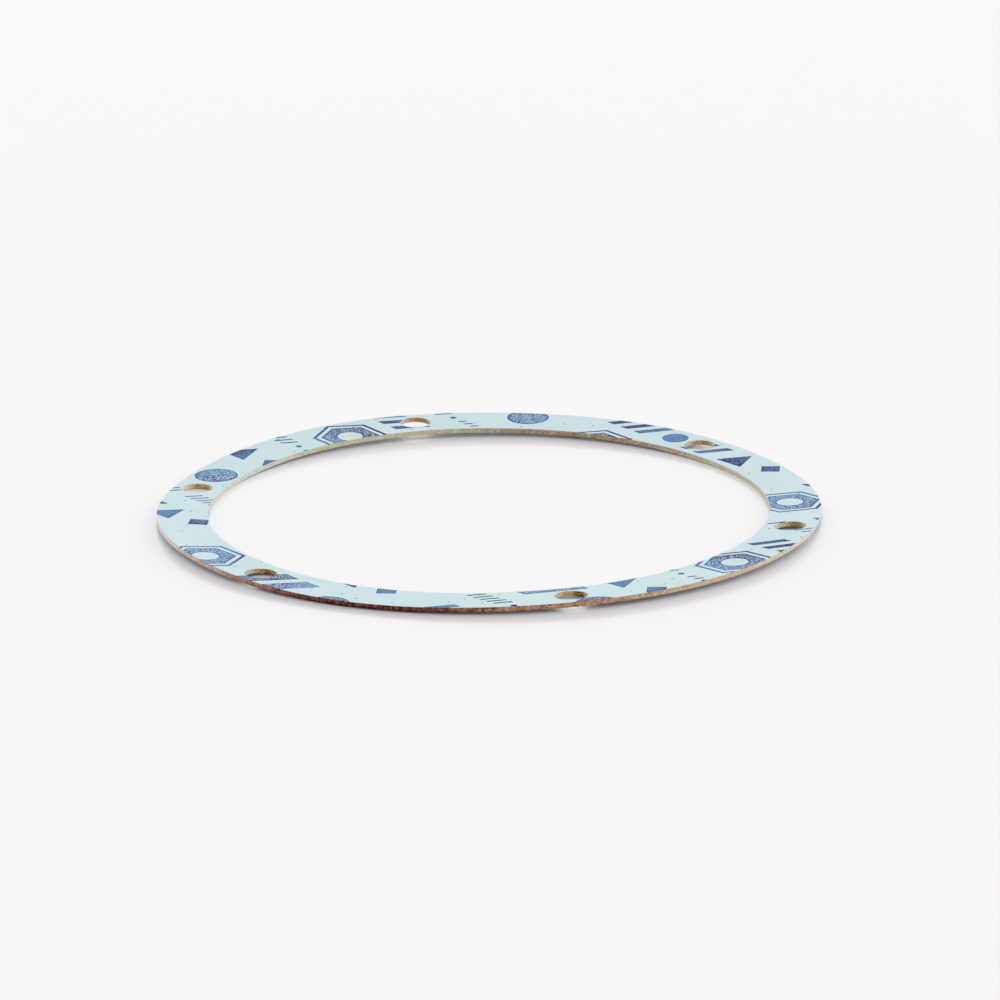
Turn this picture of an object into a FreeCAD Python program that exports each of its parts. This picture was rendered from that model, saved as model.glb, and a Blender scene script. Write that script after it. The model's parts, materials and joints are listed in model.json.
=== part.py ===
import FreeCAD, Part
import math
import os

# Cover gasket: one ring cut from fibre gasket sheet, lying on its underside.
# The origin is on the ring's axis, level with the lowest point of the underside.
# +Z is up through the sheet, and +X runs through the middle of one bolt hole.
# Lengths are in millimetres and angles in degrees.

# Cut outline, from the opening outwards
OPENING_DIAMETER = 110.0
INNER_LAND = 2.15
BOLT_HOLE_DIAMETER = 6.2
OUTER_LAND = 1.65
BOLT_HOLE_COUNT = 6

# Sheet
SHEET_THICKNESS = 1.0

# Set of the sheet: the shape in which it lies on a flat table, never quite flat once it is cut.
# The outer edge lifts all the way round, as on a shallow dish.
# On top of that, low waves run round the ring. Each has its height at the outer edge,
# and the angle at which one of its crests stands.
OUTER_EDGE_LIFT = 0.43
ONE_CREST_HEIGHT = 0.21
ONE_CREST_ANGLE = 99.0
TWO_CREST_HEIGHT = 0.32
TWO_CREST_ANGLE = -53.0
THREE_CREST_HEIGHT = 0.39
THREE_CREST_ANGLE = -14.0
FOUR_CREST_HEIGHT = 0.15
FOUR_CREST_ANGLE = 41.0
FIVE_CREST_HEIGHT = 0.20
FIVE_CREST_ANGLE = 0.0

# Grid on which the heights are taken for the curved surface. It reaches a little past the ring.
GRID_MARGIN = 2.0
GRID_CELLS = 20

# Sizes that follow from the ones above
opening_radius = OPENING_DIAMETER / 2
bolt_hole_radius = BOLT_HOLE_DIAMETER / 2
bolt_circle_radius = opening_radius + INNER_LAND + bolt_hole_radius
outer_radius = bolt_circle_radius + bolt_hole_radius + OUTER_LAND
waves = (
    (1, ONE_CREST_HEIGHT, ONE_CREST_ANGLE),
    (2, TWO_CREST_HEIGHT, TWO_CREST_ANGLE),
    (3, THREE_CREST_HEIGHT, THREE_CREST_ANGLE),
    (4, FOUR_CREST_HEIGHT, FOUR_CREST_ANGLE),
    (5, FIVE_CREST_HEIGHT, FIVE_CREST_ANGLE),
)


def underside_height(x, y):
    """Height of the set sheet's underside at a point of the ring's plane, before it is set down."""
    radius = math.hypot(x, y)
    angle = math.atan2(y, x)
    lift_share = (radius**2 - opening_radius**2) / (outer_radius**2 - opening_radius**2)
    height = OUTER_EDGE_LIFT * lift_share
    for crests, edge_height, crest_angle in waves:
        turn = crests * (angle - math.radians(crest_angle))
        height += edge_height * (radius / outer_radius) ** crests * math.cos(turn)
    return height


def underside_face():
    """Smooth square face through the heights of the underside, a little larger than the ring."""
    reach = outer_radius + GRID_MARGIN
    cell = 2 * reach / GRID_CELLS
    places = [cell * i - reach for i in range(GRID_CELLS + 1)]
    heights = [[underside_height(x, y) for y in places] for x in places]
    surface = Part.BSplineSurface()
    surface.interpolate(heights, -reach, cell, -reach, cell)
    return surface.toShape()


def circle(radius, x=0.0, y=0.0):
    """Closed level wire round a point of the ring's plane."""
    round_edge = Part.Circle(FreeCAD.Vector(x, y, 0), FreeCAD.Vector(0, 0, 1), radius)
    return Part.Wire(round_edge.toShape())


def die_outline():
    """Flat face that the die cuts: the ring with its opening and its bolt holes."""
    wires = [circle(outer_radius), circle(opening_radius)]
    for i in range(BOLT_HOLE_COUNT):
        angle = 2 * math.pi * i / BOLT_HOLE_COUNT
        x = bolt_circle_radius * math.cos(angle)
        y = bolt_circle_radius * math.sin(angle)
        wires.append(circle(bolt_hole_radius, x, y))
    return Part.makeFace(wires, "Part::FaceMakerBullseye")


def gasket():
    """The set sheet, cut straight down by the die and put down on its lowest point."""
    sheet = underside_face().extrude(FreeCAD.Vector(0, 0, SHEET_THICKNESS))
    room = sheet.BoundBox
    die = die_outline()
    die.translate(FreeCAD.Vector(0, 0, room.ZMin - SHEET_THICKNESS))
    die_stroke = FreeCAD.Vector(0, 0, room.ZLength + 2 * SHEET_THICKNESS)
    ring = sheet.common(die.extrude(die_stroke)).Solids[0]
    lowest = ring.optimalBoundingBox(False).ZMin
    ring.translate(FreeCAD.Vector(0, 0, -lowest))
    return ring


def main():
    os.makedirs("parts", exist_ok=True)
    gasket().exportStep("parts/gasket.step")


main()
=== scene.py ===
import json
import math

import bmesh
import bpy
import numpy as np
from mathutils import Matrix, Vector, noise
from mathutils.geometry import delaunay_2d_cdt

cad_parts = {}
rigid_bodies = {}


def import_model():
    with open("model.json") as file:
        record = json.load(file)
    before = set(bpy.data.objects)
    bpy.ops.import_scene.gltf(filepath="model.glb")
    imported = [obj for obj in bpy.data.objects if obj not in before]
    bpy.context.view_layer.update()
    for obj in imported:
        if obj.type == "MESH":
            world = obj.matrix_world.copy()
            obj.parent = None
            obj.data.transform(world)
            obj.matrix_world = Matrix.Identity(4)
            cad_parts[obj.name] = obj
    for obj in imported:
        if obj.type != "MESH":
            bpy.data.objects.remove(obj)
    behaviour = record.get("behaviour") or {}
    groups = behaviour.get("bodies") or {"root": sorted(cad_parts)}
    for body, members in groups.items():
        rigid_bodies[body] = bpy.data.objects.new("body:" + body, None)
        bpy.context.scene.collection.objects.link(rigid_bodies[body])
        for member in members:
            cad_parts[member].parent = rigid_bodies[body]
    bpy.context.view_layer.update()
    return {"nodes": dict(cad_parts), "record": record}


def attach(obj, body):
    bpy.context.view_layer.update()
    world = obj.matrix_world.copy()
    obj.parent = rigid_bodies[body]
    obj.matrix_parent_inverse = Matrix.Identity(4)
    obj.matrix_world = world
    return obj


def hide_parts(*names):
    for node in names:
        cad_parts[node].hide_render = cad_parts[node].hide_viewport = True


# Looks of a cover gasket: a thin printed fibre ring lying on a pale glossy table.
# Lengths are in metres, unless a name or a comment says millimetres, and angles are in degrees.

for leftover in list(bpy.data.objects):
    bpy.data.objects.remove(leftover)
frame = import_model()

MM = 0.001

# Camera, at the photograph's viewing angle: it looks at the ring's middle, which shows at the pixel
# RING_PIXEL_X from the left and RING_PIXEL_Y from the top.
CAMERA_DISTANCE = 1.003
CAMERA_ELEVATION = 16.733
CAMERA_AZIMUTH = 15.55
CAMERA_ROLL = -0.617
CAMERA_REACH = 50.0
LENS_MM = 184.3
SENSOR_MM = 36.0
FRAME_PIXELS = 1000
RING_PIXEL_X = 489.06
RING_PIXEL_Y = 513.49

# Light: an even surrounding, and lamps that look LAMP_WIDTH wide from the ring. Each lamp has its
# azimuth, from the camera's right towards the back, its elevation and its strength.
AMBIENT = 0.64
LAMP_WIDTH = 40.0
LAMPS = (
    ("lamp_right", 0.0, 18.0, 0.7),
    ("lamp_back_right", 45.0, 18.0, 0.3),
    ("lamp_back", 90.0, 18.0, 0.8),
    ("lamp_back_left", 135.0, 18.0, 0.6),
    ("lamp_above", 0.0, 90.0, 0.25),
)

# Table: its size, the strength of its gloss, and how blurred the gloss is
FLOOR_SIZE = 12.0
FLOOR_IOR = 1.8
FLOOR_ROUGHNESS = 0.17

# Mesh of the sheet: the points along each cut edge, how far apart the points inside the faces stand
# and how far from a bolt hole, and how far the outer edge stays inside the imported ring
OUTER_EDGE_POINTS = 2400
OPENING_EDGE_POINTS = 2000
BOLT_HOLE_EDGE_POINTS = 128
FACE_SPACING = 1.25 * MM
EDGE_CLEARANCE = 0.5 * MM
OUTER_EDGE_INSET = 0.02 * MM

# Triangles of a face: they fill the hull of its points, and points closer than this are one
FILL_HULL = 0
SAME_POINT = 1e-9

# Waves round the ring that are read from the way it lies
WAVE_COUNT = 5

# Cut edge, from the upper face (0) to the underside (1): how far it is rounded back, in millimetres.
# The coat is drawn down over the first bands.
EDGE_PROFILE = (
    (0.00, 0.055),
    (0.03, 0.022),
    (0.08, 0.005),
    (0.16, 0.000),
    (0.28, 0.000),
    (0.42, 0.000),
    (0.57, 0.000),
    (0.72, 0.000),
    (0.86, 0.000),
    (0.96, 0.010),
    (1.00, 0.035),
)
COAT_BANDS = 2

# Torn fibres: how deep they can stand back, and their length and height. At a corner only the share
# CORNER_DEPTH of that is left, and away from it the share rises by DEPTH_RISE per sheet thickness.
FIBRE_DEPTH = 0.09 * MM
FIBRE_LENGTH = 0.45 * MM
FIBRE_HEIGHT = 0.20 * MM
CORNER_DEPTH = 0.25
DEPTH_RISE = 6.0

# Relief of the fibres: its level, its coarse and fine parts, and how much finer the fine part is
RELIEF_LEVEL = 0.35
RELIEF_COARSE = 0.6
RELIEF_FINE = 0.35
RELIEF_FINENESS = 2.7

# Stains on the cut edges, partly real and partly painted shade: they lie where the outer edge in front
# and the opening's edge at the back face the camera, away from the lamps, the dark red one where the
# outer edge faces furthest from them. In degrees and millimetres: the azimuth and radius of each one's
# middle, how far round it the stain is full, and where it ends. Those at the back are weaker.
FRONT_STAIN_AND_SHADE = (-90.0, 65.0, 18.0, 72.0)
BACK_STAIN_AND_SHADE = (84.5, 55.0, 2.0, 42.0)
RED_STAIN_AND_SHADE = (-96.5, 65.0, 7.0, 34.0)
FRONT_STRAW = (-66.0, 65.0, 40.0, 78.0)
BACK_STRAW = (90.0, 55.0, 45.0, 70.0)
BACK_STRENGTH = 0.68
STAIN_AND_SHADE_RAGGEDNESS = 8.0 * MM

# Fibres round a bolt hole, from the camera's left (-1) to its right (1): where gold and dark red set in
# and fade. The pale fibres on the camera's left, where gold is missing, are painted light, and the dark
# red is partly painted shade. The red is full only in the holes in front, from the ring's middle (0)
# towards the camera (1).
HOLE_GOLD_FROM = (-0.8, 0.0)
HOLE_GOLD_UNTIL = (1.15, 0.5)
HOLE_RED_FROM = (0.02, 0.3)
HOLE_RED_UNTIL = (0.95, 0.6)
FRONT_HOLES = (0.0, 0.7)
RED_ELSEWHERE = 0.2

# Print on the upper face, in millimetres on the sheet before it was cut. From one repeat to the
# next across, it is staggered along.
PRINT_ANGLE = -34.5
PRINT_SHIFT_ALONG = 42.0
PRINT_SHIFT_ACROSS = 34.0
PRINT_REPEAT_ALONG = 58.0
PRINT_REPEAT_ACROSS = 36.0
PRINT_STAGGER = 23.0
BAR_LEAN = 0.5
BARS_IN_PAIR = 2

# Fine row of the print: its middle, its bars, and where each of its marks stands along it
FINE_ROW_MIDDLE = 32.0
FINE_HEIGHT = 3.2
FINE_STROKE = 0.65
FINE_STEP = 1.9
FINE_BARS_AT = 2.5
FINE_BARS = 5
FINE_DOT_AT = 13.2
LOW_BARS_AT = 16.2
LOW_BARS = 3
FINE_PAIR_AT = 24.0

# Bold row, in the same way, with the sizes of its other marks
BOLD_ROW_MIDDLE = 21.5
BOLD_HEIGHT = 6.6
BOLD_STROKE = 2.0
BOLD_STEP = 4.0
BOLD_BARS_AT = 4.0
BOLD_BARS = 3
BOLD_DISC_AT = 18.6
BOLD_DISC_RADIUS = 2.7
BOLD_PAIR_AT = 26.0
TRIANGLE_AT = 38.0
TRIANGLE_HALF_FOOT = 3.6
DIAMOND_AT = 47.0
DIAMOND_REACH = 2.6

# Large row, in the same way. A fine line runs round the nut, at a gap from it.
LARGE_ROW_MIDDLE = 8.0
LARGE_HEIGHT = 11.0
LARGE_STROKE = 4.0
LARGE_STEP = 6.4
NUT_AT = 9.0
NUT_HALF_WIDTH = 5.2
NUT_BORE_RADIUS = 2.6
NUT_LINE_GAP = 1.2
LARGE_PAIR_AT = 26.0
LARGE_DISC_AT = 46.0
LARGE_DISC_RADIUS = 4.3

# Ink, in millimetres: how ragged its outlines are and how far they fade, and the rim of a mark in
# which it is solid. Inside the rim grains of it are missing, a larger share of them in large marks.
INK_RAGGEDNESS = 0.12
INK_BLEED = 0.04
INK_RIM = 0.22
NEAR_LARGE_MARK = 0.1
SMALL_MARKS_BARE = 0.25
LARGE_MARKS_BARE = 0.75

# Fineness of the patterns, per metre. Those of the fibres are finer through the sheet.
INK_OUTLINES = 1800
INK_GRAINS = 3200
INK_WEAR = 60
COAT_CLOUDS = 70
COAT_DIMPLES = 1500
STRANDS = (2200, 2200, 3600)
FIBRE_GRAINS = (1900, 1900, 2600)
STAIN_AND_SHADE_BLOTCHES = 260
PIT_SHADE_FINENESS = 3000
SPECKS = 170

# Levels between which each pattern sets in
BARE_GRAIN_LEVELS = (0.46, 0.60)
INK_WEAR_LEVELS = (0.38, 0.62)
COAT_CLOUD_LEVELS = (0.35, 0.75)
STRAND_LEVELS = (0.38, 0.62)
RED_STRAND_LEVELS = (0.35, 0.55)
PIT_SHADE_LEVELS = (0.50, 0.60)

# Specks of dirt: how far each one reaches of its cell, and which draws give a cell its speck
SPECK_REACH = 0.045
SPECK_DRAWS = (0.45, 0.5)

# Flecks in the fibres: the draws that give them, how many of them each tone of fibre has, how many
# of them dark red covers, and how many of the rosy ones are missing in the holes
ROSE_DRAWS = (0.78, 0.86)
OCHRE_DRAWS = (0.22, 0.14)
DARK_DRAWS = (0.84, 0.92)
FLECKS_IN_CLEAN = 0.2
FLECKS_IN_GOLD = 0.8
FLECKS_AT_MOST = 0.9
FLECKS_UNDER_RED = 0.5
ROSE_NOT_IN_HOLES = 0.6

# How pale a fibre is: the part drawn for its grain, and the part of its strand
GRAIN_PART = 0.6
STRAND_PART = 0.4

# Edge of the sheet by depth: where the painted shade of the pits beside the corners sets in, counted
# from mid depth, and where painted shade darkens the dark red fibres towards the underside, counted
# from the upper face
CORNER_BAND = (0.3, 0.45)
SHADED_FOOT_BAND = (0.6, 0.9)
FOOT_SHADE_STRENGTH = 0.8

# Finish of the coat and of the fibres
COAT_ROUGHNESS = 0.6
COAT_DIMPLE_DEPTH = 0.012 * MM
FIBRE_ROUGHNESS = 0.9
FIBRE_SHEEN = 0.12
FIBRE_SHEEN_ROUGHNESS = 0.5
STRAND_DEPTH = 0.05 * MM
FAINT_GLOSS = 0.06


def srgb(red, green, blue):
    """Linear colour for a colour given as it shows on a screen, from 0 to 255."""
    def linear(value):
        value = value / 255
        if value <= 0.04045:
            return value / 12.92
        return ((value + 0.055) / 1.055) ** 2.4
    return (linear(red), linear(green), linear(blue), 1.0)


COAT_COLOUR = srgb(210, 231, 235)
COAT_SHADE = srgb(205, 227, 231)
UNDERSIDE_COLOUR = srgb(212, 218, 217)
UNDERSIDE_SHADE = srgb(204, 211, 210)
INK_DARK = srgb(30, 38, 110)
INK_WORN = srgb(72, 120, 172)
SPECK_COLOUR = srgb(60, 100, 122)
FLOOR_COLOUR = srgb(250, 247, 250)
WHITE = (1.0, 1.0, 1.0, 1.0)

# Fibres: a darker and a paler shade of each tone, the colours of single flecks, of the painted shade in
# the pits and at the foot of the dark red, and of sheen, and what tones down all of the opening's wall
FIBRES_CLEAN = (srgb(226, 222, 208), srgb(243, 241, 231))
# Straw, brown and dark red go on as stains that are partly painted shade on the edges facing the camera
FIBRES_STRAW = (srgb(204, 184, 146), srgb(232, 218, 192))
FIBRES_BROWN = (srgb(119, 68, 48), srgb(229, 186, 151))
FIBRES_GOLD = (srgb(160, 128, 62), srgb(236, 208, 142))
FIBRES_RED = (srgb(38, 8, 20), srgb(124, 54, 58))
FLECK_OCHRE = srgb(178, 134, 54)
FLECK_ROSE = srgb(204, 126, 112)
FLECK_DARK = srgb(54, 18, 24)
PAINTED_SHADE_COLOUR = srgb(26, 16, 22)
SHEEN_TINT = srgb(250, 225, 200)
OPENING_TINT = (0.85, 0.93, 0.87, 1.0)

# Places of the sheet's materials in its mesh, and what its points say about the fibres of a cut edge,
# with the painted light and shade in the bolt holes
PRINTED, FIBRE, PLAIN = 0, 1, 2
TONES = ("gold", "hole_red_and_shade", "in_hole", "in_opening")

# Fibre ring as packed: its outline
bolts = frame["record"]["mounts"][0]["dims"]
bolt_circle_radius = bolts["pcd_mm"] / 2 * MM
bolt_hole_radius = bolts["hole_r_mm"] * MM
ring_points = np.array([v.co for v in frame["nodes"]["gasket"].data.vertices])
ring_radii = np.hypot(ring_points[:, 0], ring_points[:, 1])
outer_radius = ring_radii.max()
opening_radius = ring_radii.min()


# Way the ring lies

def set_terms(x, y):
    """Terms of the sheet's set at points of the ring's plane: level, dish, and two for each wave."""
    across = (x + 1j * y) / outer_radius
    terms = [np.ones_like(x), np.abs(across) ** 2]
    for crests in range(1, WAVE_COUNT + 1):
        wave = across**crests
        terms.append(wave.real)
        terms.append(wave.imag)
    return np.stack(terms, axis=-1)


def read_set():
    """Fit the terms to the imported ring: their shares for the underside, and the sheet's thickness."""
    heights = ring_points[:, 2]
    terms = set_terms(ring_points[:, 0], ring_points[:, 1])
    middle = terms @ np.linalg.lstsq(terms, heights, rcond=None)[0]
    upper = (heights > middle).astype(float)
    solved = np.linalg.lstsq(np.column_stack([terms, upper]), heights, rcond=None)[0]
    return solved[:-1], solved[-1]


set_shares, sheet_thickness = read_set()


def at_depth(points, share):
    """Points of the ring's plane, put at a share of the way from the upper face to the underside."""
    x, y = points[:, 0], points[:, 1]
    underside = set_terms(x, y) @ set_shares
    return np.column_stack([x, y, underside + sheet_thickness * (1 - share)])


# Cut edges

def level_direction(azimuth):
    """Level direction at an azimuth, counted from +X towards +Y."""
    return (math.cos(math.radians(azimuth)), math.sin(math.radians(azimuth)), 0.0)


def bolt_centres():
    angles = [2 * math.pi * i / bolts["count"] for i in range(bolts["count"])]
    return [(bolt_circle_radius * math.cos(a), bolt_circle_radius * math.sin(a)) for a in angles]


def smooth_step(value, low, high):
    """0 at low and 1 at high, with a soft start and end."""
    share = np.clip((value - low) / (high - low), 0.0, 1.0)
    return share * share * (3 - 2 * share)


def hole_tones_and_painted_light(centre, outward):
    """Tones of a bolt hole's fibres: pale on the camera's left as painted light, then golden, then dark
    red that is partly painted shade.
    """
    right_side = np.array(level_direction(CAMERA_AZIMUTH)[:2])
    front = np.array(level_direction(CAMERA_AZIMUTH - 90)[:2])
    right = outward @ right_side
    nearness = np.array(centre) @ front / bolt_circle_radius
    strength = RED_ELSEWHERE + (1 - RED_ELSEWHERE) * smooth_step(nearness, *FRONT_HOLES)
    gold = smooth_step(right, *HOLE_GOLD_FROM) * smooth_step(right, *HOLE_GOLD_UNTIL)
    red = strength * smooth_step(right, *HOLE_RED_FROM) * smooth_step(right, *HOLE_RED_UNTIL)
    return np.column_stack([gold, red, np.ones_like(right), np.zeros_like(right)])


def outside_tones(centre, outward):
    return np.zeros((len(outward), len(TONES)))


def opening_tones(centre, outward):
    tones = outside_tones(centre, outward)
    tones[:, TONES.index("in_opening")] = 1.0
    return tones


def round_edge(radius, count, centre, material_side, tones):
    """One cut edge: its points, the direction into the material there, and its fibres' tones."""
    angles = np.arange(count) * 2 * math.pi / count
    outward = np.stack([np.cos(angles), np.sin(angles)], axis=-1)
    return np.asarray(centre) + radius * outward, material_side * outward, tones(centre, outward)


def cut_edges():
    """All the cut edges: the outside, the opening and the bolt holes."""
    edges = [
        round_edge(outer_radius - OUTER_EDGE_INSET, OUTER_EDGE_POINTS, (0, 0), -1, outside_tones),
        round_edge(opening_radius, OPENING_EDGE_POINTS, (0, 0), 1, opening_tones),
    ]
    for centre in bolt_centres():
        edges.append(round_edge(bolt_hole_radius, BOLT_HOLE_EDGE_POINTS, centre, 1, hole_tones_and_painted_light))
    return edges


def fibre_relief(x, y, depth):
    """How far the torn fibres stand back from the cut, from 0 to 1, at a depth below the face."""
    place = Vector((x / FIBRE_LENGTH, y / FIBRE_LENGTH, depth / FIBRE_HEIGHT))
    coarse = noise.noise(place)
    fine = noise.noise(place * RELIEF_FINENESS)
    return min(max(RELIEF_LEVEL + RELIEF_COARSE * coarse + RELIEF_FINE * fine, 0.0), 1.0)


def rims_at(edges, share, rounding):
    """Rim of every cut edge at one depth, rounded back at the corners and torn in between."""
    from_corner = min(share, 1 - share)
    torn = FIBRE_DEPTH * min(1.0, DEPTH_RISE * from_corner + CORNER_DEPTH)
    rims = []
    for points, inward, _ in edges:
        relief = np.array([fibre_relief(x, y, share * sheet_thickness) for x, y in points])
        back = rounding * MM + torn * relief
        rims.append(points + inward * back[:, None])
    return rims


# Sheet mesh

def neighbours(rims):
    """Pairs of neighbouring points along every rim, with all the rims end to end."""
    pairs = []
    start = 0
    for rim in rims:
        count = len(rim)
        pairs += [(start + i, start + (i + 1) % count) for i in range(count)]
        start += count
    return pairs


def face_points():
    """Points inside the faces, on rings round the axis, clear of every cut edge."""
    points = []
    centres = bolt_centres()
    clear_radius = bolt_hole_radius + EDGE_CLEARANCE
    rows = round((outer_radius - opening_radius) / FACE_SPACING)
    for row in range(1, rows):
        radius = opening_radius + (outer_radius - opening_radius) * row / rows
        count = round(2 * math.pi * radius / FACE_SPACING)
        for i in range(count):
            angle = 2 * math.pi * (i + 0.5 * (row % 2)) / count
            point = (radius * math.cos(angle), radius * math.sin(angle))
            if min(math.dist(point, centre) for centre in centres) > clear_radius:
                points.append(point)
    return np.array(points)


def encloses(rim, centre, point):
    """Whether a point lies inside a rim whose points stand at even angles round its centre."""
    turn = math.atan2(point[1] - centre[1], point[0] - centre[0]) / (2 * math.pi)
    step = math.floor(turn * len(rim)) % len(rim)
    start, end = rim[step], rim[(step + 1) % len(rim)]
    along, towards = end - start, np.subtract(point, start)
    return along[0] * towards[1] > along[1] * towards[0]


def face_triangles(rims, inside):
    """Triangles of a face: inside the outer rim, and outside the opening and the bolt holes."""
    centres = [(0, 0), (0, 0), *bolt_centres()]
    points = [Vector(point) for point in np.concatenate([*rims, inside])]
    triangles = []
    for corners in delaunay_2d_cdt(points, neighbours(rims), [], FILL_HULL, SAME_POINT)[2]:
        middle = (points[corners[0]] + points[corners[1]] + points[corners[2]]) / 3
        outer, *holes = [encloses(rim, centre, middle) for rim, centre in zip(rims, centres)]
        if outer and not any(holes):
            triangles.append(corners)
    return triangles


def stack_layers(rims, inside):
    """Points of the sheet at each depth: all the rims, and on both faces the points inside too."""
    layers = [np.concatenate(level) for level in rims]
    layers[0] = np.concatenate([layers[0], inside])
    layers[-1] = np.concatenate([layers[-1], inside])
    return layers


def wall_faces(pairs, starts):
    """Bands of the cut edges, from each depth to the next."""
    walls = []
    for above, below in zip(starts, starts[1:]):
        walls += [(above + b, above + a, below + a, below + b) for a, b in pairs]
    return walls


def describe_points(mesh, layers, edges):
    """Note at each point of the mesh its depth in the sheet, and the tones of its cut edge."""
    depths = [np.full(len(layer), share) for layer, (share, _) in zip(layers, EDGE_PROFILE)]
    rim_tones = np.concatenate([edge_tones for _, _, edge_tones in edges])
    tones = [np.pad(rim_tones, ((0, len(layer) - len(rim_tones)), (0, 0))) for layer in layers]
    values = {"depth": np.concatenate(depths)}
    values.update(zip(TONES, np.concatenate(tones).T))
    for name, numbers in values.items():
        mesh.attributes.new(name, "FLOAT", "POINT").data.foreach_set("value", numbers)


def face_outwards(mesh):
    """Face everything outwards, and keep the corners sharp round each face and under the coat."""
    bm = bmesh.new()
    bm.from_mesh(mesh)
    bmesh.ops.recalc_face_normals(bm, faces=bm.faces[:])
    for edge in bm.edges:
        kinds = {(face.material_index, len(face.verts)) for face in edge.link_faces}
        edge.smooth = len(kinds) == 1
    bm.to_mesh(mesh)
    bm.free()


def sheet_mesh():
    """The whole sheet as one closed mesh: upper face, underside and every cut edge between them."""
    edges = cut_edges()
    inside = face_points()
    rims = [rims_at(edges, share, rounding) for share, rounding in EDGE_PROFILE]
    layers = stack_layers(rims, inside)
    raised = [at_depth(layer, share) for layer, (share, _) in zip(layers, EDGE_PROFILE)]
    starts = np.cumsum([0] + [len(layer) for layer in layers[:-1]]).tolist()

    pairs = neighbours(rims[0])
    upper = face_triangles(rims[0], inside)
    under = [[starts[-1] + i for i in triangle] for triangle in face_triangles(rims[-1], inside)]
    walls = wall_faces(pairs, starts)
    coated = COAT_BANDS * len(pairs)
    kinds = [PRINTED] * len(upper) + [PLAIN] * len(under)
    kinds += [PRINTED] * coated + [FIBRE] * (len(walls) - coated)

    mesh = bpy.data.meshes.new("gasket_sheet")
    mesh.from_pydata(np.concatenate(raised).tolist(), [], [*upper, *under, *walls])
    mesh.polygons.foreach_set("material_index", kinds)
    mesh.polygons.foreach_set("use_smooth", [True] * len(kinds))
    describe_points(mesh, layers, edges)
    face_outwards(mesh)
    return mesh


def build_sheet():
    mesh = sheet_mesh()
    for material in (printed_material(), fibre_material(), plain_material()):
        mesh.materials.append(material)
    piece = bpy.data.objects.new("gasket_sheet", mesh)
    bpy.context.scene.collection.objects.link(piece)
    return piece


# Node helpers

class Graph:
    """Short names for the nodes of one material."""

    def __init__(self, name):
        self.material = bpy.data.materials.new(name)
        self.material.use_nodes = True
        self.nodes = self.material.node_tree.nodes
        self.links = self.material.node_tree.links
        self.nodes.clear()
        self.output = self.nodes.new("ShaderNodeOutputMaterial")
        self.shader = self.nodes.new("ShaderNodeBsdfPrincipled")
        self.links.new(self.shader.outputs["BSDF"], self.output.inputs["Surface"])

    def feed(self, socket, value):
        if isinstance(value, bpy.types.NodeSocket):
            self.links.new(value, socket)
        else:
            socket.default_value = value

    def math(self, operation, *values):
        node = self.nodes.new("ShaderNodeMath")
        node.operation = operation
        for socket, value in zip(node.inputs, values):
            self.feed(socket, value)
        return node.outputs[0]

    def place(self, scale, turn=0.0, shift=(0, 0, 0)):
        """Place on the object, scaled per metre, turned about the ring's axis and then shifted."""
        coordinates = self.nodes.new("ShaderNodeTexCoord").outputs["Object"]
        mapping = self.nodes.new("ShaderNodeMapping")
        self.links.new(coordinates, mapping.inputs["Vector"])
        mapping.inputs["Rotation"].default_value = (0, 0, math.radians(-turn))
        mapping.inputs["Scale"].default_value = scale
        mapping.inputs["Location"].default_value = shift
        return mapping.outputs["Vector"]

    def even(self, scale):
        """Place on the object, scaled alike in every direction."""
        return self.place((scale, scale, scale))

    def split(self, vector):
        node = self.nodes.new("ShaderNodeSeparateXYZ")
        self.links.new(vector, node.inputs[0])
        return node.outputs["X"], node.outputs["Y"]

    def attribute(self, name):
        node = self.nodes.new("ShaderNodeAttribute")
        node.attribute_name = name
        return node.outputs["Fac"]

    def noise(self, vector, detail, roughness=0.5):
        node = self.nodes.new("ShaderNodeTexNoise")
        self.links.new(vector, node.inputs["Vector"])
        node.inputs["Scale"].default_value = 1.0
        node.inputs["Detail"].default_value = detail
        node.inputs["Roughness"].default_value = roughness
        return node.outputs["Fac"]

    def cells(self, vector, dimensions):
        """Distance to the nearest of many scattered points, and three shares drawn for each point."""
        node = self.nodes.new("ShaderNodeTexVoronoi")
        node.voronoi_dimensions = dimensions
        self.links.new(vector, node.inputs["Vector"])
        node.inputs["Scale"].default_value = 1.0
        drawn = self.nodes.new("ShaderNodeSeparateColor")
        self.links.new(node.outputs["Color"], drawn.inputs[0])
        return node.outputs["Distance"], list(drawn.outputs)

    def ramp(self, value, low, high, start=0.0, end=1.0):
        """Value carried from low..high to start..end, smoothly and held at the ends."""
        node = self.nodes.new("ShaderNodeMapRange")
        node.interpolation_type = "SMOOTHSTEP"
        self.feed(node.inputs["Value"], value)
        self.feed(node.inputs["From Min"], low)
        self.feed(node.inputs["From Max"], high)
        self.feed(node.inputs["To Min"], start)
        self.feed(node.inputs["To Max"], end)
        return node.outputs["Result"]

    def mix(self, factor, first, second, blend="MIX"):
        node = self.nodes.new("ShaderNodeMix")
        node.data_type = "RGBA"
        node.blend_type = blend
        sockets = {socket.identifier: socket for socket in [*node.inputs, *node.outputs]}
        self.feed(sockets["Factor_Float"], factor)
        self.feed(sockets["A_Color"], first)
        self.feed(sockets["B_Color"], second)
        return sockets["Result_Color"]

    def bump(self, height, distance):
        node = self.nodes.new("ShaderNodeBump")
        node.inputs["Strength"].default_value = 1.0
        node.inputs["Distance"].default_value = distance
        self.links.new(height, node.inputs["Height"])
        self.links.new(node.outputs["Normal"], self.shader.inputs["Normal"])

    def colour(self, socket):
        self.links.new(socket, self.shader.inputs["Base Color"])

    def finish(self, name, value):
        """Set a property of the shader that is the same all over the surface."""
        self.shader.inputs[name].default_value = value


# Print: plain marks in three rows, repeated over the sheet. Each mark is a distance to its outline
# in millimetres, below zero inside it.

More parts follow.
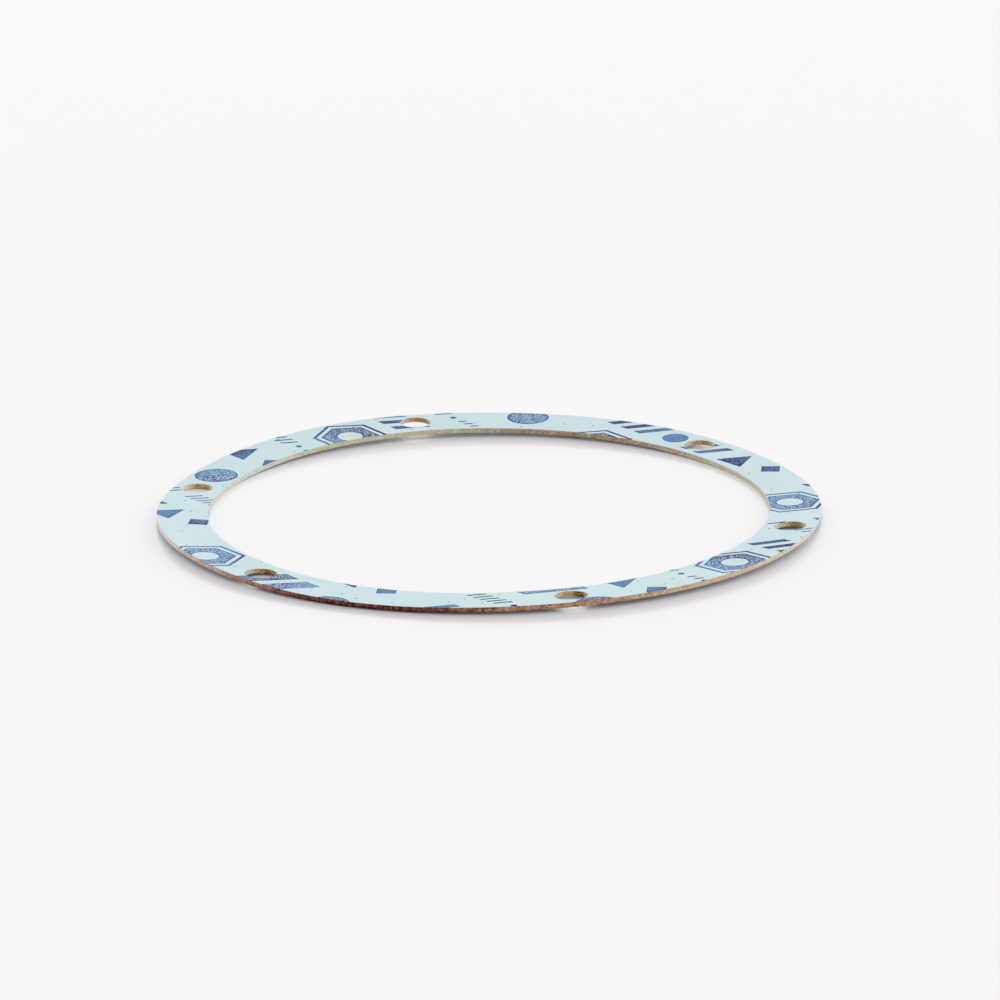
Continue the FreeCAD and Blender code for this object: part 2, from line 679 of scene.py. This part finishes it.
def bars(graph, u, v, first, height, width, step, count):
    """Bars in a row, evenly spaced, leaning to the right and with level ends."""
    rise = graph.math("SUBTRACT", v, first[1])
    lean = graph.math("MULTIPLY_ADD", rise, -BAR_LEAN, graph.math("SUBTRACT", u, first[0]))
    number = graph.math("ROUND", graph.math("DIVIDE", lean, step))
    number = graph.math("MINIMUM", graph.math("MAXIMUM", number, 0.0), count - 1.0)
    lean = graph.math("MULTIPLY_ADD", number, -step, lean)
    across = graph.math("SUBTRACT", graph.math("ABSOLUTE", lean), width / 2)
    along = graph.math("SUBTRACT", graph.math("ABSOLUTE", rise), height / 2)
    return graph.math("MAXIMUM", across, along)


def disc(graph, u, v, middle, radius):
    across = graph.math("POWER", graph.math("SUBTRACT", u, middle[0]), 2.0)
    along = graph.math("POWER", graph.math("SUBTRACT", v, middle[1]), 2.0)
    return graph.math("SUBTRACT", graph.math("SQRT", graph.math("ADD", across, along)), radius)


def from_middle(graph, u, v, middle):
    """Distances from a mark's middle, along the row and across it."""
    along = graph.math("ABSOLUTE", graph.math("SUBTRACT", u, middle[0]))
    across = graph.math("ABSOLUTE", graph.math("SUBTRACT", v, middle[1]))
    return along, across


def diamond(graph, u, v, middle, reach):
    """A square on one of its corners."""
    along, across = from_middle(graph, u, v, middle)
    past = graph.math("SUBTRACT", graph.math("ADD", along, across), reach)
    return graph.math("MULTIPLY", past, math.sqrt(0.5))


def hexagon(graph, u, v, middle, half_width):
    """A hexagon with a level side above and below."""
    along, across = from_middle(graph, u, v, middle)
    half_across = graph.math("MULTIPLY", across, 0.5)
    sloped = graph.math("MULTIPLY_ADD", along, math.sqrt(0.75), half_across)
    return graph.math("SUBTRACT", graph.math("MAXIMUM", across, sloped), half_width)


def triangle(graph, u, v, foot, half_foot, height):
    """A triangle on a level foot."""
    rise = graph.math("SUBTRACT", v, foot[1])
    along = graph.math("ABSOLUTE", graph.math("SUBTRACT", u, foot[0]))
    side = graph.math("MULTIPLY_ADD", along, height, graph.math("MULTIPLY", rise, half_foot))
    side = graph.math("SUBTRACT", side, half_foot * height)
    side = graph.math("DIVIDE", side, math.hypot(half_foot, height))
    return graph.math("MAXIMUM", side, graph.math("MULTIPLY", rise, -1.0))


def without(graph, mark, hole):
    """A mark with another one cut out of it."""
    return graph.math("MAXIMUM", mark, graph.math("MULTIPLY", hole, -1.0))


def outline(graph, mark, width):
    """A line along the outline of a mark."""
    return graph.math("SUBTRACT", graph.math("ABSOLUTE", mark), width / 2)


def joined(graph, *marks):
    """All of the marks together."""
    nearest = marks[0]
    for mark in marks[1:]:
        nearest = graph.math("MINIMUM", nearest, mark)
    return nearest


def fine_row(graph, u, v):
    """Small marks, twice in each repeat: thin bars, a dot, a few low bars and two thin ones."""
    u = graph.math("FLOORED_MODULO", u, PRINT_REPEAT_ALONG / 2)
    run = (FINE_BARS_AT, FINE_ROW_MIDDLE)
    dot = (FINE_DOT_AT, FINE_ROW_MIDDLE)
    low = (LOW_BARS_AT, FINE_ROW_MIDDLE)
    pair = (FINE_PAIR_AT, FINE_ROW_MIDDLE)
    return joined(
        graph,
        bars(graph, u, v, run, FINE_HEIGHT, FINE_STROKE, FINE_STEP, FINE_BARS),
        disc(graph, u, v, dot, FINE_STROKE),
        bars(graph, u, v, low, FINE_HEIGHT / 2, FINE_STROKE, FINE_STEP, LOW_BARS),
        bars(graph, u, v, pair, FINE_HEIGHT, FINE_STROKE, FINE_STEP, BARS_IN_PAIR),
    )


def bold_row(graph, u, v):
    """Bold marks: three bars, a disc, two bars, a triangle and a diamond."""
    run = (BOLD_BARS_AT, BOLD_ROW_MIDDLE)
    pair = (BOLD_PAIR_AT, BOLD_ROW_MIDDLE)
    foot = (TRIANGLE_AT, BOLD_ROW_MIDDLE - BOLD_HEIGHT / 2)
    return joined(
        graph,
        bars(graph, u, v, run, BOLD_HEIGHT, BOLD_STROKE, BOLD_STEP, BOLD_BARS),
        disc(graph, u, v, (BOLD_DISC_AT, BOLD_ROW_MIDDLE), BOLD_DISC_RADIUS),
        bars(graph, u, v, pair, BOLD_HEIGHT, BOLD_STROKE, BOLD_STEP, BARS_IN_PAIR),
        triangle(graph, u, v, foot, TRIANGLE_HALF_FOOT, BOLD_HEIGHT),
        diamond(graph, u, v, (DIAMOND_AT, BOLD_ROW_MIDDLE), DIAMOND_REACH),
    )


def large_row(graph, u, v):
    """Large marks: a hexagon nut with a fine line round it, two broad bars and a disc."""
    nut_middle = (NUT_AT, LARGE_ROW_MIDDLE)
    pair = (LARGE_PAIR_AT, LARGE_ROW_MIDDLE)
    outside = hexagon(graph, u, v, nut_middle, NUT_HALF_WIDTH)
    line = outline(graph, graph.math("SUBTRACT", outside, NUT_LINE_GAP), FINE_STROKE)
    return joined(
        graph,
        without(graph, outside, disc(graph, u, v, nut_middle, NUT_BORE_RADIUS)),
        line,
        bars(graph, u, v, pair, LARGE_HEIGHT, LARGE_STROKE, LARGE_STEP, BARS_IN_PAIR),
        disc(graph, u, v, (LARGE_DISC_AT, LARGE_ROW_MIDDLE), LARGE_DISC_RADIUS),
    )


def on_repeat(graph):
    """Place of each point of the face in its repeat of the print, along and across."""
    shift = (PRINT_SHIFT_ALONG, PRINT_SHIFT_ACROSS, 0)
    u, v = graph.split(graph.place((1 / MM, 1 / MM, 1 / MM), PRINT_ANGLE, shift))
    repeat = graph.math("FLOOR", graph.math("DIVIDE", v, PRINT_REPEAT_ACROSS))
    u = graph.math("MULTIPLY_ADD", repeat, PRINT_STAGGER, u)
    u = graph.math("FLOORED_MODULO", u, PRINT_REPEAT_ALONG)
    return u, graph.math("FLOORED_MODULO", v, PRINT_REPEAT_ACROSS)


def missing_grains(graph, nearest, large):
    """Share of the ink that is missing in grains, inside the rims of the marks."""
    grain = graph.noise(graph.even(INK_GRAINS), detail=1.0)
    bare = graph.ramp(grain, *BARE_GRAIN_LEVELS)
    inner = graph.ramp(nearest, -INK_RIM, -2 * INK_RIM)
    most = graph.ramp(large, NEAR_LARGE_MARK, 0.0, SMALL_MARKS_BARE, LARGE_MARKS_BARE)
    return graph.math("MULTIPLY", graph.math("MULTIPLY", bare, inner), most)


def print_cover(graph):
    """Share of ink at each point of the face, and how worn the ink is there."""
    u, v = on_repeat(graph)
    large = large_row(graph, u, v)
    nearest = joined(graph, fine_row(graph, u, v), bold_row(graph, u, v), large)
    ragged = graph.noise(graph.even(INK_OUTLINES), detail=2.0)
    nearest = graph.math("SUBTRACT", nearest, INK_RAGGEDNESS)
    nearest = graph.math("MULTIPLY_ADD", ragged, 2 * INK_RAGGEDNESS, nearest)
    cover = graph.ramp(nearest, INK_BLEED, -INK_BLEED)
    kept = graph.math("SUBTRACT", 1.0, missing_grains(graph, nearest, large))
    wear = graph.ramp(graph.noise(graph.even(INK_WEAR), detail=2.0), *INK_WEAR_LEVELS)
    return graph.math("MULTIPLY", cover, kept), wear


# Materials of the coat

def coat(graph, colour, shade):
    """Colour of the sheet's smooth coat, faintly clouded."""
    clouds = graph.noise(graph.even(COAT_CLOUDS), detail=4.0)
    return graph.mix(graph.ramp(clouds, *COAT_CLOUD_LEVELS), colour, shade)


def coat_finish(graph):
    """Dull sheen of the coat, over the faint unevenness of the fibres under it."""
    graph.finish("Roughness", COAT_ROUGHNESS)
    graph.finish("Specular IOR Level", FAINT_GLOSS)
    graph.bump(graph.noise(graph.even(COAT_DIMPLES), detail=3.0), COAT_DIMPLE_DEPTH)


def plain_material():
    """The coat of the underside, without print."""
    graph = Graph("coat_plain")
    graph.colour(coat(graph, UNDERSIDE_COLOUR, UNDERSIDE_SHADE))
    coat_finish(graph)
    return graph.material


def printed_material():
    """The coat with its print, and a few specks of dirt."""
    graph = Graph("coat_printed")
    cover, wear = print_cover(graph)
    ink = graph.mix(wear, INK_DARK, INK_WORN)
    printed = graph.mix(cover, coat(graph, COAT_COLOUR, COAT_SHADE), ink)
    distance, drawn = graph.cells(graph.even(SPECKS), "2D")
    near = graph.ramp(distance, SPECK_REACH, SPECK_REACH / 2)
    speck = graph.math("MULTIPLY", near, graph.ramp(drawn[0], *SPECK_DRAWS))
    graph.colour(graph.mix(speck, printed, SPECK_COLOUR))
    coat_finish(graph)
    return graph.material


# Material of the cut edges

def stain_and_shade(graph, blotches, azimuth, radius, full, end):
    """Share of a ragged round patch, partly real staining and partly painted shade, at each point, from
    its middle outwards.
    """
    node = graph.nodes.new("ShaderNodeVectorMath")
    node.operation = "DISTANCE"
    graph.links.new(graph.even(1), node.inputs[0])
    node.inputs[1].default_value = Vector(level_direction(azimuth)) * radius * MM
    distance = node.outputs["Value"]
    ragged = graph.math("MULTIPLY_ADD", blotches, 2 * STAIN_AND_SHADE_RAGGEDNESS, distance)
    return graph.ramp(ragged, end * MM + STAIN_AND_SHADE_RAGGEDNESS, full * MM + STAIN_AND_SHADE_RAGGEDNESS)


def edge_stains_and_shade(graph, strands, hole_red_and_shade, in_hole):
    """Shares of straw, brown and dark red at each point, partly real staining and partly painted shade,
    and of the brown in front by itself.
    """
    blotches = graph.noise(graph.even(STAIN_AND_SHADE_BLOTCHES), detail=4.0, roughness=0.7)
    front = stain_and_shade(graph, blotches, *FRONT_STAIN_AND_SHADE)
    back = graph.math("MULTIPLY", stain_and_shade(graph, blotches, *BACK_STAIN_AND_SHADE), BACK_STRENGTH)
    back_straw = graph.math("MULTIPLY", stain_and_shade(graph, blotches, *BACK_STRAW), BACK_STRENGTH)
    straw = graph.math("MAXIMUM", stain_and_shade(graph, blotches, *FRONT_STRAW), back_straw)
    brown = graph.math("MAXIMUM", front, back)
    brown = graph.math("MULTIPLY", brown, graph.math("SUBTRACT", 1.0, in_hole))
    hole_red_and_shade = graph.math("MULTIPLY", hole_red_and_shade, graph.ramp(strands, *RED_STRAND_LEVELS))
    red = graph.math("MAXIMUM", stain_and_shade(graph, blotches, *RED_STAIN_AND_SHADE), hole_red_and_shade)
    return straw, brown, red, front


def spotted(graph, colour, pattern, levels, share, spot):
    """Colour with spots of another one, where a pattern passes from one level to the other."""
    spots = graph.math("MULTIPLY", graph.ramp(pattern, *levels), share)
    return graph.mix(spots, colour, spot)


def add_flecks(graph, colour, draws, brown, gold, red, in_hole):
    """Colour with its single rosy, ochre and dark flecks."""
    tinge_draw, dark_draw = draws
    tinged = graph.math("MAXIMUM", brown, graph.math("MULTIPLY", gold, FLECKS_IN_GOLD))
    tinged = graph.math("MAXIMUM", tinged, FLECKS_IN_CLEAN)
    shown = graph.math("MULTIPLY_ADD", red, -FLECKS_UNDER_RED, FLECKS_AT_MOST)
    tinged = graph.math("MULTIPLY", tinged, shown)
    shown = graph.math("MULTIPLY_ADD", in_hole, -ROSE_NOT_IN_HOLES, 1.0)
    rosy = graph.math("MULTIPLY", tinged, shown)
    dark = graph.math("MULTIPLY", tinged, brown)
    colour = spotted(graph, colour, tinge_draw, ROSE_DRAWS, rosy, FLECK_ROSE)
    colour = spotted(graph, colour, tinge_draw, OCHRE_DRAWS, tinged, FLECK_OCHRE)
    return spotted(graph, colour, dark_draw, DARK_DRAWS, dark, FLECK_DARK)


def paint_corner_shade(graph, colour, front, red):
    """Colour with painted shade: dark pits beside both corners of the brown in front, and a dark foot
    under the red.
    """
    depth = graph.attribute("depth")
    off_middle = graph.math("ABSOLUTE", graph.math("SUBTRACT", depth, 0.5))
    corner = graph.math("MULTIPLY", graph.ramp(off_middle, *CORNER_BAND), front)
    shaded_pits = graph.noise(graph.even(PIT_SHADE_FINENESS), detail=1.0)
    colour = spotted(graph, colour, shaded_pits, PIT_SHADE_LEVELS, corner, PAINTED_SHADE_COLOUR)
    foot = graph.math("MULTIPLY", graph.ramp(depth, *SHADED_FOOT_BAND), FOOT_SHADE_STRENGTH)
    return graph.mix(graph.math("MULTIPLY", foot, red), colour, PAINTED_SHADE_COLOUR)


def fibre_material():
    """Torn fibres of the cut edge: grains of mixed tones, stains that are partly painted shade, and
    painted light and shade in the bolt holes and dark pits.
    """
    graph = Graph("fibre_edge")
    strands = graph.noise(graph.place(STRANDS), detail=2.0)
    pale_draw, *fleck_draws = graph.cells(graph.place(FIBRE_GRAINS), "3D")[1]
    pale = graph.math("MULTIPLY", graph.ramp(strands, *STRAND_LEVELS), STRAND_PART)
    pale = graph.math("MULTIPLY_ADD", pale_draw, GRAIN_PART, pale)

    # In the bolt holes the pale fibres where gold is missing are painted light, and the dark red partly
    # painted shade
    gold, hole_red_and_shade, in_hole, in_opening = [graph.attribute(name) for name in TONES]
    # Straw, brown and dark red: partly stains and partly painted shade where the edge faces the camera
    straw, brown, red, front = edge_stains_and_shade(graph, strands, hole_red_and_shade, in_hole)
    colour = graph.mix(pale, *FIBRES_CLEAN)
    colour = graph.mix(straw, colour, graph.mix(pale, *FIBRES_STRAW))
    colour = graph.mix(brown, colour, graph.mix(pale, *FIBRES_BROWN))
    colour = graph.mix(gold, colour, graph.mix(pale, *FIBRES_GOLD))
    colour = graph.mix(red, colour, graph.mix(pale, *FIBRES_RED))
    colour = add_flecks(graph, colour, fleck_draws, brown, gold, red, in_hole)
    colour = graph.mix(in_opening, colour, OPENING_TINT, "MULTIPLY")
    graph.colour(paint_corner_shade(graph, colour, front, red))

    graph.finish("Roughness", FIBRE_ROUGHNESS)
    graph.finish("Specular IOR Level", FAINT_GLOSS)
    graph.finish("Sheen Weight", FIBRE_SHEEN)
    graph.finish("Sheen Roughness", FIBRE_SHEEN_ROUGHNESS)
    graph.finish("Sheen Tint", SHEEN_TINT)
    graph.bump(strands, STRAND_DEPTH)
    return graph.material


# Table, light and camera

def floor():
    bpy.ops.mesh.primitive_plane_add(size=FLOOR_SIZE)
    plane = bpy.context.object
    plane.name = "table"
    graph = Graph("table_white")
    graph.finish("Base Color", FLOOR_COLOUR)
    graph.finish("Roughness", FLOOR_ROUGHNESS)
    graph.finish("IOR", FLOOR_IOR)
    plane.data.materials.append(graph.material)


def seen_directly(nodes, links):
    """1 for what the camera sees, straight or in a reflection, and 0 for light on things."""
    rays = nodes.new("ShaderNodeLightPath")
    either = nodes.new("ShaderNodeMath")
    either.operation = "MAXIMUM"
    links.new(rays.outputs["Is Camera Ray"], either.inputs[0])
    links.new(rays.outputs["Is Glossy Ray"], either.inputs[1])
    return either.outputs[0]


def surroundings():
    """Even light from all round, and a white backdrop to look at."""
    world = bpy.data.worlds.new("studio")
    bpy.context.scene.world = world
    world.use_nodes = True
    nodes, links = world.node_tree.nodes, world.node_tree.links
    nodes.clear()
    output = nodes.new("ShaderNodeOutputWorld")
    light = nodes.new("ShaderNodeBackground")
    light.inputs["Strength"].default_value = AMBIENT
    seen = nodes.new("ShaderNodeBackground")
    seen.inputs["Strength"].default_value = 1.0
    for background in (light, seen):
        background.inputs["Color"].default_value = WHITE
    choose = nodes.new("ShaderNodeMixShader")
    links.new(seen_directly(nodes, links), choose.inputs["Fac"])
    links.new(light.outputs[0], choose.inputs[1])
    links.new(seen.outputs[0], choose.inputs[2])
    links.new(choose.outputs[0], output.inputs["Surface"])


def lamp(name, azimuth, elevation, strength):
    """A wide lamp far away."""
    data = bpy.data.lights.new(name, "SUN")
    data.energy = strength
    data.angle = math.radians(LAMP_WIDTH)
    light = bpy.data.objects.new(name, data)
    towards = Vector(level_direction(CAMERA_AZIMUTH + azimuth)) * math.cos(math.radians(elevation))
    towards.z = math.sin(math.radians(elevation))
    light.rotation_euler = towards.to_track_quat("Z", "Y").to_euler()
    light.location = towards
    light.visible_glossy = False
    bpy.context.scene.collection.objects.link(light)


def camera():
    data = bpy.data.cameras.new("camera")
    data.lens = LENS_MM
    data.sensor_width = SENSOR_MM
    data.clip_end = CAMERA_REACH
    data.shift_x = (FRAME_PIXELS / 2 - RING_PIXEL_X) / FRAME_PIXELS
    data.shift_y = (RING_PIXEL_Y - FRAME_PIXELS / 2) / FRAME_PIXELS
    eye = bpy.data.objects.new("camera", data)
    turn = Matrix.Rotation(math.radians(CAMERA_AZIMUTH), 4, "Z")
    tip = Matrix.Rotation(math.radians(90 - CAMERA_ELEVATION), 4, "X")
    roll = Matrix.Rotation(math.radians(CAMERA_ROLL), 4, "Z")
    back = Matrix.Translation((0, 0, CAMERA_DISTANCE))
    eye.matrix_world = turn @ tip @ roll @ back
    bpy.context.scene.collection.objects.link(eye)
    bpy.context.scene.camera = eye


# The sheet on the table, with its light and camera

sheet = build_sheet()
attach(sheet, "root")
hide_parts("gasket")
floor()
surroundings()
for name, azimuth, elevation, strength in LAMPS:
    lamp(name, azimuth, elevation, strength)
camera()
bpy.context.scene.view_settings.view_transform = "Standard"
